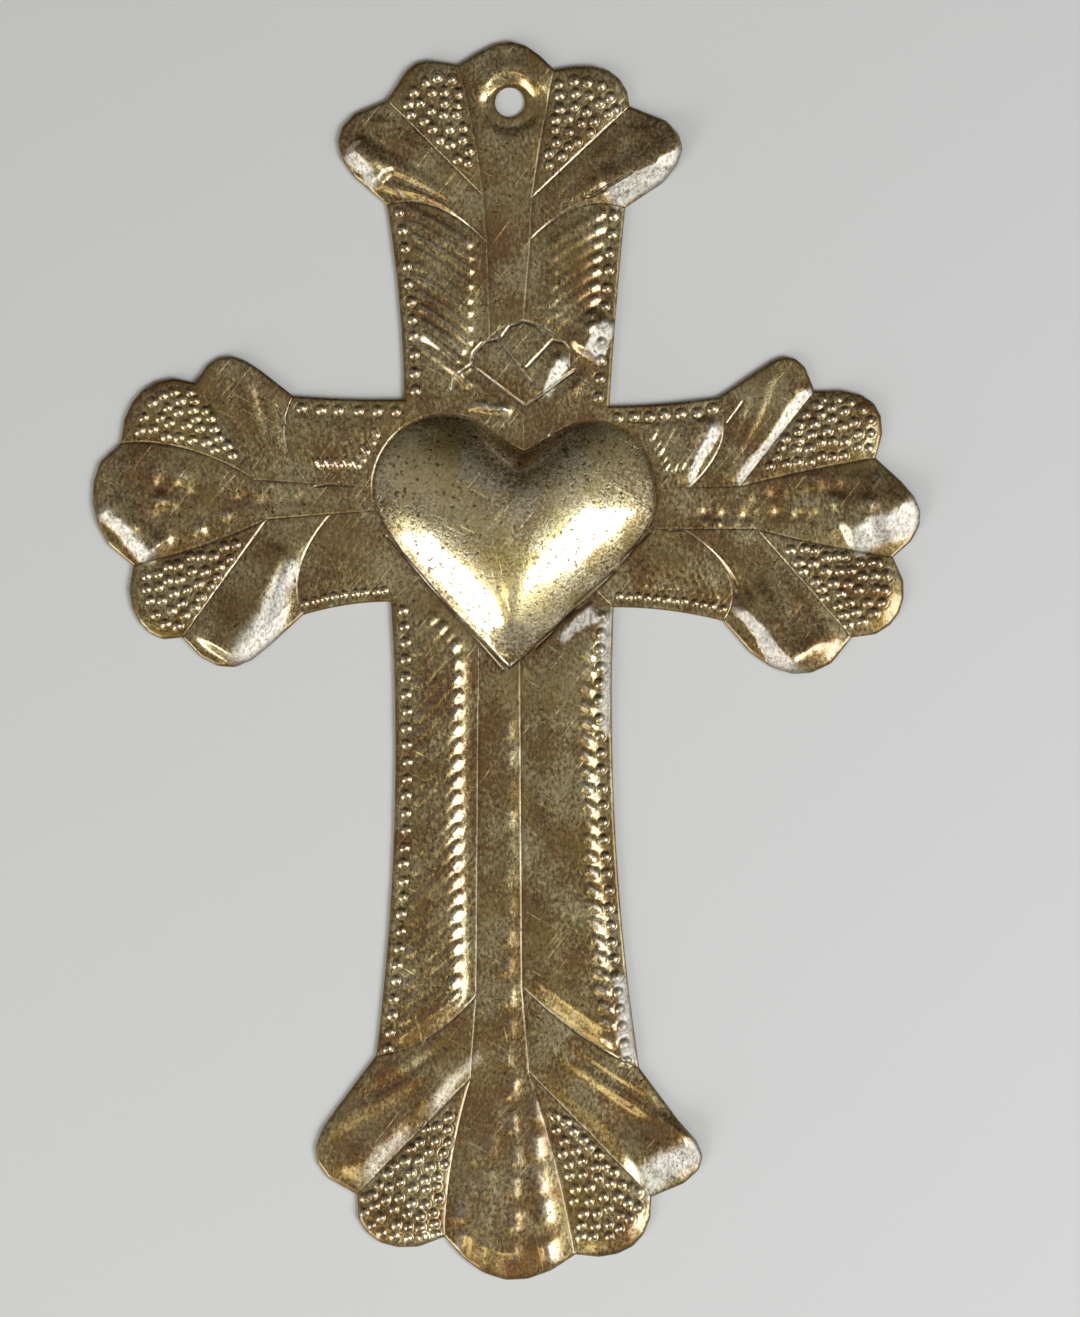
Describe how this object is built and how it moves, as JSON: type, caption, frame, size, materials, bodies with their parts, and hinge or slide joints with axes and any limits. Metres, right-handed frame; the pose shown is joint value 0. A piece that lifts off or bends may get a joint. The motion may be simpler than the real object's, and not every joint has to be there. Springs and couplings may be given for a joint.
{
  "type": "wall cross",
  "caption": "Hammered sheet-steel wall cross with a raised heart and flame at the crossing, flared lobed ends with punched beads, ribbed arms and a nail hole at the top.",
  "frame": {"origin": "middle of the outline, on the plane of the sheet's flat back rim", "axes": "+Z out of the front, +Y towards the end with the nail hole, +X to the right seen from the front"},
  "size_m": [0.1528, 0.2288, 0.0094],
  "materials": {
    "lacquered_steel": "hammered raw steel, brown tarnish, clear lacquer",
    "heart_steel": "burnished hammered steel, clear lacquer"
  },
  "bodies": {
    "root": {"heart": "heart_steel", "flame": "lacquered_steel", "top_spine": "lacquered_steel", "left_spine": "lacquered_steel", "right_spine": "lacquered_steel", "bottom_spine": "lacquered_steel", "top_left_panel": "lacquered_steel", "top_left_leaf": "lacquered_steel", "top_left_beaded_lobe": "lacquered_steel", "top_right_panel": "lacquered_steel", "top_right_leaf": "lacquered_steel", "top_right_beaded_lobe": "lacquered_steel", "left_upper_panel": "lacquered_steel", "left_upper_leaf": "lacquered_steel", "left_upper_beaded_lobe": "lacquered_steel", "left_lower_panel": "lacquered_steel", "left_lower_leaf": "lacquered_steel", "left_lower_beaded_lobe": "lacquered_steel", "right_upper_panel": "lacquered_steel", "right_upper_leaf": "lacquered_steel", "right_upper_beaded_lobe": "lacquered_steel", "right_lower_panel": "lacquered_steel", "right_lower_leaf": "lacquered_steel", "right_lower_beaded_lobe": "lacquered_steel", "bottom_left_panel": "lacquered_steel", "bottom_left_leaf": "lacquered_steel", "bottom_left_beaded_lobe": "lacquered_steel", "bottom_right_panel": "lacquered_steel", "bottom_right_leaf": "lacquered_steel", "bottom_right_beaded_lobe": "lacquered_steel"}
  },
  "joints": []
}
